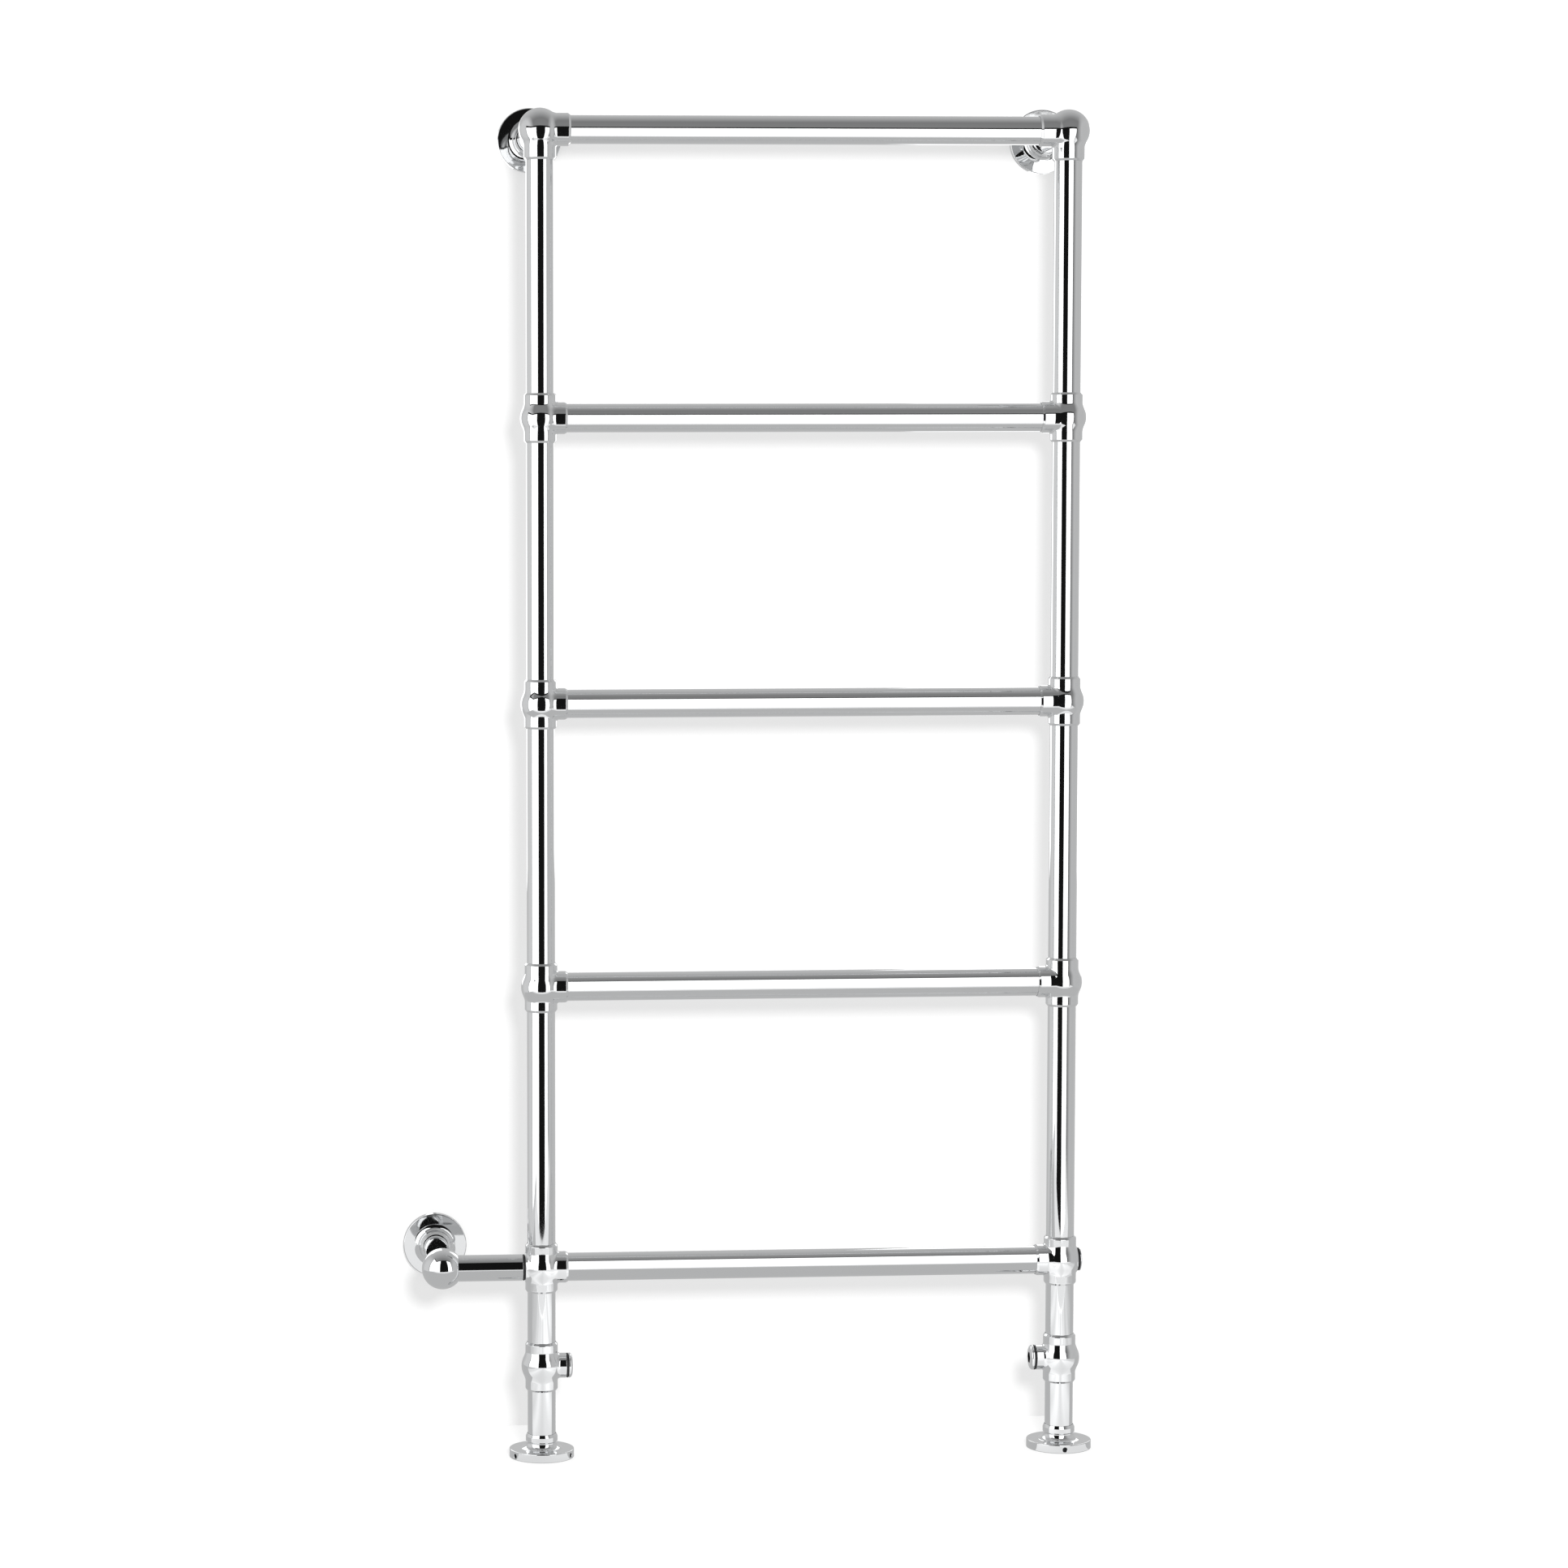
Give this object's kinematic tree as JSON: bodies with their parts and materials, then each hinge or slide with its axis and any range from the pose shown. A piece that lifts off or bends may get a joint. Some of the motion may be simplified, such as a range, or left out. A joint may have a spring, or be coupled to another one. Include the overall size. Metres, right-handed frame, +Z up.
{
  "type": "heated towel rail",
  "caption": "Ball-jointed ladder towel radiator in polished chrome, with key-operated valves in its legs, floor and wall flanges and a side arm.",
  "frame": {"origin": "bottom centre of the whole object's box, on the floor", "axes": "+Z up along the uprights, +X to the right along the rails, +Y back to the wall"},
  "size_m": [0.7876, 0.192, 1.546],
  "materials": {
    "chrome_tube": "polished chrome plate on drawn brass tube",
    "chrome_casting": "polished chrome plate on brass ball fittings",
    "chrome_turned": "polished chrome plate on turned brass",
    "black_rubber": "moulded nitrile rubber",
    "seat_plastic": "turned PTFE",
    "gland_brass": "turned brass",
    "plate_steel": "zinc-plated pressed steel"
  },
  "bodies": {
    "frame": {"rail_1": "chrome_tube", "rail_2": "chrome_tube", "rail_3": "chrome_tube", "rail_4": "chrome_tube", "rail_5": "chrome_tube", "upright_left_1": "chrome_tube", "upright_left_2": "chrome_tube", "upright_left_3": "chrome_tube", "upright_left_4": "chrome_tube", "tee_left_2": "chrome_casting", "tee_left_3": "chrome_casting", "tee_left_4": "chrome_casting", "corner_ball_left": "chrome_casting", "lower_ball_left": "chrome_casting", "leg_upper_left": "chrome_tube", "leg_lower_left": "chrome_tube", "valve_body_left": "chrome_casting", "valve_seat_upper_left": "seat_plastic", "valve_seat_lower_left": "seat_plastic", "valve_oring_left": "black_rubber", "valve_gland_left": "gland_brass", "flange_floor_left": "chrome_turned", "fixing_plate_floor_left": "plate_steel", "wall_stay_left": "chrome_tube", "flange_wall_left": "chrome_turned", "fixing_plate_wall_left": "plate_steel", "upright_right_1": "chrome_tube", "upright_right_2": "chrome_tube", "upright_right_3": "chrome_tube", "upright_right_4": "chrome_tube", "tee_right_2": "chrome_casting", "tee_right_3": "chrome_casting", "tee_right_4": "chrome_casting", "corner_ball_right": "chrome_casting", "lower_ball_right": "chrome_casting", "leg_upper_right": "chrome_tube", "leg_lower_right": "chrome_tube", "valve_body_right": "chrome_casting", "valve_seat_upper_right": "seat_plastic", "valve_seat_lower_right": "seat_plastic", "valve_oring_right": "black_rubber", "valve_gland_right": "gland_brass", "flange_floor_right": "chrome_turned", "fixing_plate_floor_right": "plate_steel", "wall_stay_right": "chrome_tube", "flange_wall_right": "chrome_turned", "fixing_plate_wall_right": "plate_steel", "side_port_plug": "chrome_turned", "plug_oring": "black_rubber", "arm_tube": "chrome_tube", "arm_oring": "black_rubber", "arm_elbow_ball": "chrome_casting", "arm_wall_tube": "chrome_tube", "flange_wall_arm": "chrome_turned", "fixing_plate_wall_arm": "plate_steel"},
    "valve_plug_left": {"valve_spindle_left": "chrome_turned", "valve_ball_left": "chrome_turned"},
    "valve_plug_right": {"valve_spindle_right": "chrome_turned", "valve_ball_right": "chrome_turned"}
  },
  "joints": [
    {"name": "valve_turn_left", "type": "hinge", "parent": "frame", "child": "valve_plug_left", "pos_m": [-0.24325, -0.059, 0.105], "axis": [-1, 0, 0], "range_deg": [0, 90]},
    {"name": "valve_turn_right", "type": "hinge", "parent": "frame", "child": "valve_plug_right", "pos_m": [0.35675, -0.059, 0.105], "axis": [1, 0, 0], "range_deg": [0, 90]}
  ]
}
